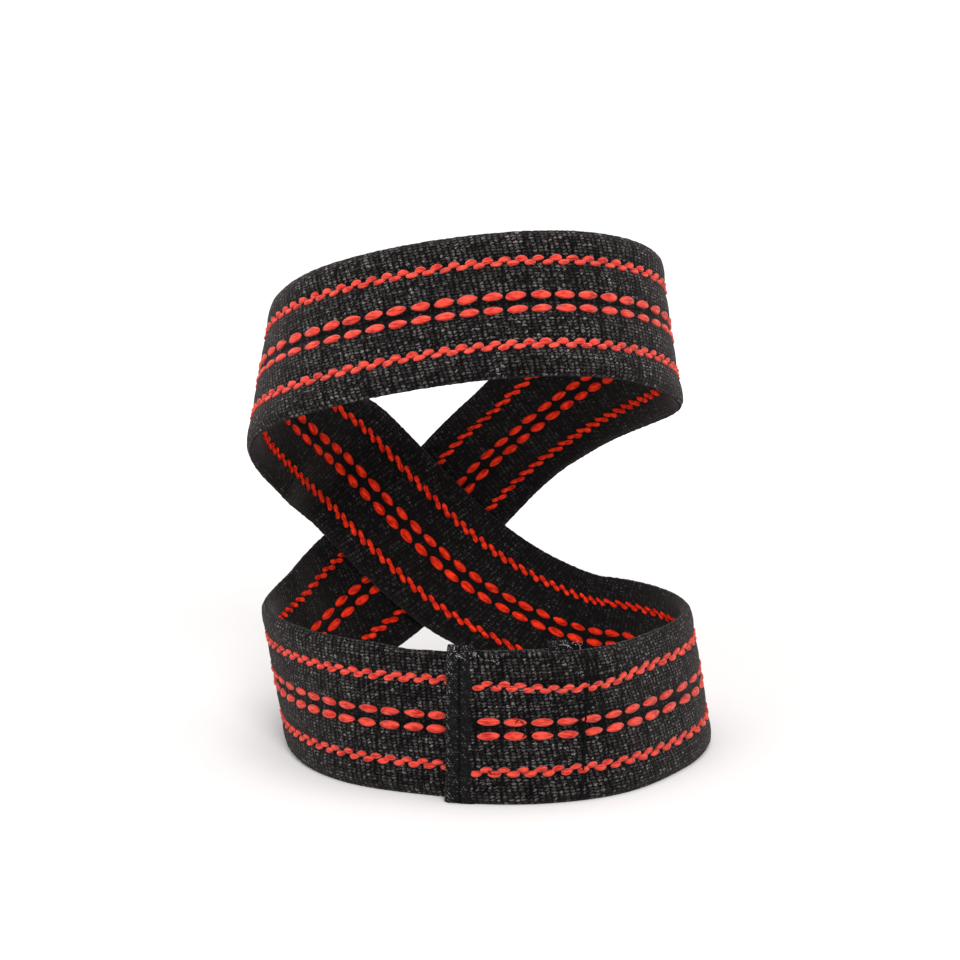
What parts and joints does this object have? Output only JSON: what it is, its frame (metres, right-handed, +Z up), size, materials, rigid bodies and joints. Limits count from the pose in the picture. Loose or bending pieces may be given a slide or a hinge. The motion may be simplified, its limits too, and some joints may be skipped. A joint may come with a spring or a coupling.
{
  "type": "figure-eight lifting strap",
  "caption": "Thick ribbed webbing strap wound as a figure eight: two loops standing one above the other, crossing flat at the back, with a sewn lap at the lower front.",
  "frame": {"origin": "on the floor under the middle of the bounding box", "axes": "+Z up, from the lower loop to the upper loop; +X to the right and -Y towards the viewer, who sees the sewn lap in front and the crossing at the back"},
  "size_m": [0.1288, 0.106, 0.1435],
  "materials": {
    "black_webbing": "matte woven, with red woven stripes",
    "binding_thread": "matte thread",
    "red_yarn": "soft matte yarn"
  },
  "bodies": {
    "root": {"webbing_strap": "black_webbing", "outer_end_binding": "binding_thread", "inner_end_binding": "binding_thread"}
  },
  "joints": []
}
